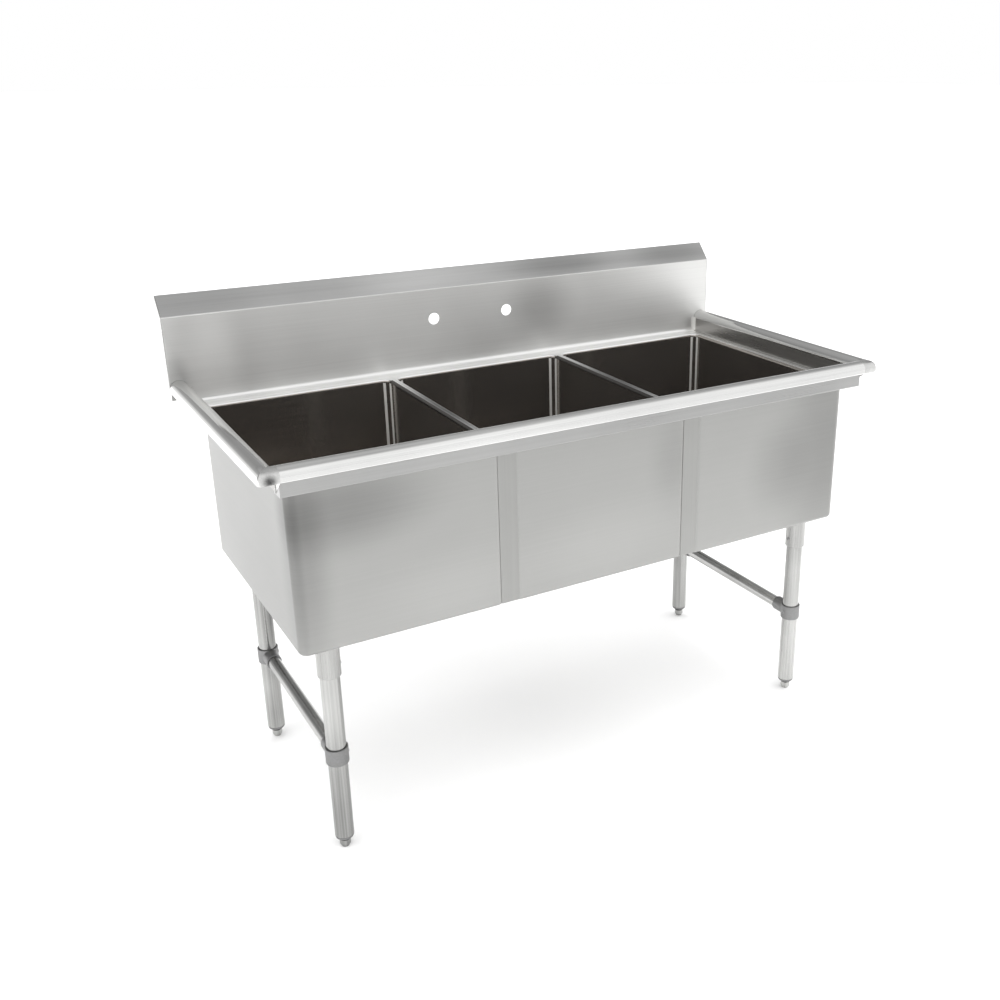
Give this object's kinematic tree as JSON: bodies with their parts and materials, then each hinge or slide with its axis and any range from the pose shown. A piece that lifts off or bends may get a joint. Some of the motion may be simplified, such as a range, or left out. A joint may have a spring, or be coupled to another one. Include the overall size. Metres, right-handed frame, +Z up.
{
  "type": "three compartment sink",
  "caption": "Free-standing stainless scullery sink: deep bowls in one deck with a rolled rim, a boxed backsplash with tap holes, tube legs, side braces and levelling feet.",
  "frame": {"origin": "on the floor, under the middle of the bounding box", "axes": "+X along the length to the right, +Y from the front rim to the backsplash, +Z up"},
  "size_m": [1.499, 0.735, 1.107],
  "materials": {
    "brushed_sheet": "stainless sheet, brushed to a satin grain",
    "polished_rim": "stainless, polished brighter than the sheet",
    "tube_steel": "stainless tube, polished along its length",
    "cast_fitting": "cast, satin grey",
    "grub_screw": "black oxide",
    "black_rubber": "matt",
    "brass": "machined"
  },
  "bodies": {
    "sink_frame": {"backsplash_panel": "brushed_sheet", "bowl_left": "brushed_sheet", "bowl_middle": "brushed_sheet", "bowl_right": "brushed_sheet", "deck_sheet": "brushed_sheet", "rim_front_channel": "brushed_sheet", "seam_cover_left": "brushed_sheet", "seam_cover_right": "brushed_sheet", "splash_end_left": "brushed_sheet", "splash_end_right": "brushed_sheet", "drain_body_left": "polished_rim", "drain_body_middle": "polished_rim", "drain_body_right": "polished_rim", "rim_corner_left": "polished_rim", "rim_corner_right": "polished_rim", "rim_front": "polished_rim", "rim_left": "polished_rim", "rim_right": "polished_rim", "leg_front_left": "tube_steel", "leg_front_right": "tube_steel", "leg_rear_left": "tube_steel", "leg_rear_right": "tube_steel", "leg_socket_front_left": "tube_steel", "leg_socket_front_right": "tube_steel", "leg_socket_rear_left": "tube_steel", "leg_socket_rear_right": "tube_steel", "foot_insert_front_left": "cast_fitting", "foot_insert_front_right": "cast_fitting", "foot_insert_rear_left": "cast_fitting", "foot_insert_rear_right": "cast_fitting", "socket_screw_front_left": "grub_screw", "socket_screw_front_right": "grub_screw", "socket_screw_rear_left": "grub_screw", "socket_screw_rear_right": "grub_screw", "drain_gasket_left": "black_rubber", "drain_gasket_middle": "black_rubber", "drain_gasket_right": "black_rubber", "drain_locknut_left": "brass", "drain_locknut_middle": "brass", "drain_locknut_right": "brass"},
    "basket_left": {"strainer_basket_left": "polished_rim", "basket_stopper_left": "black_rubber"},
    "basket_middle": {"strainer_basket_middle": "polished_rim", "basket_stopper_middle": "black_rubber"},
    "basket_right": {"strainer_basket_right": "polished_rim", "basket_stopper_right": "black_rubber"},
    "adjuster_front_left": {"foot_front_left": "tube_steel"},
    "adjuster_front_right": {"foot_front_right": "tube_steel"},
    "adjuster_rear_left": {"foot_rear_left": "tube_steel"},
    "adjuster_rear_right": {"foot_rear_right": "tube_steel"},
    "brace_left_set": {"side_brace_left": "tube_steel", "brace_collar_front_left": "cast_fitting", "brace_collar_rear_left": "cast_fitting", "collar_screw_front_left": "grub_screw", "collar_screw_rear_left": "grub_screw"},
    "brace_right_set": {"side_brace_right": "tube_steel", "brace_collar_front_right": "cast_fitting", "brace_collar_rear_right": "cast_fitting", "collar_screw_front_right": "grub_screw", "collar_screw_rear_right": "grub_screw"}
  },
  "joints": [
    {"name": "foot_front_left_level", "type": "slide", "parent": "sink_frame", "child": "adjuster_front_left", "axis": [0, 0, 1], "range_m": [-0.025, 0.004]},
    {"name": "foot_front_right_level", "type": "slide", "parent": "sink_frame", "child": "adjuster_front_right", "axis": [0, 0, 1], "range_m": [-0.025, 0.004]},
    {"name": "foot_rear_left_level", "type": "slide", "parent": "sink_frame", "child": "adjuster_rear_left", "axis": [0, 0, 1], "range_m": [-0.025, 0.004]},
    {"name": "foot_rear_right_level", "type": "slide", "parent": "sink_frame", "child": "adjuster_rear_right", "axis": [0, 0, 1], "range_m": [-0.025, 0.004]},
    {"name": "brace_left_height", "type": "slide", "parent": "sink_frame", "child": "brace_left_set", "axis": [0, 0, 1], "range_m": [-0.15, 0.15]},
    {"name": "brace_right_height", "type": "slide", "parent": "sink_frame", "child": "brace_right_set", "axis": [0, 0, 1], "range_m": [-0.15, 0.15]},
    {"name": "basket_left_lift", "type": "slide", "parent": "sink_frame", "child": "basket_left", "axis": [0, 0, 1], "range_m": [0, 0.45]},
    {"name": "basket_middle_lift", "type": "slide", "parent": "sink_frame", "child": "basket_middle", "axis": [0, 0, 1], "range_m": [0, 0.45]},
    {"name": "basket_right_lift", "type": "slide", "parent": "sink_frame", "child": "basket_right", "axis": [0, 0, 1], "range_m": [0, 0.45]}
  ]
}
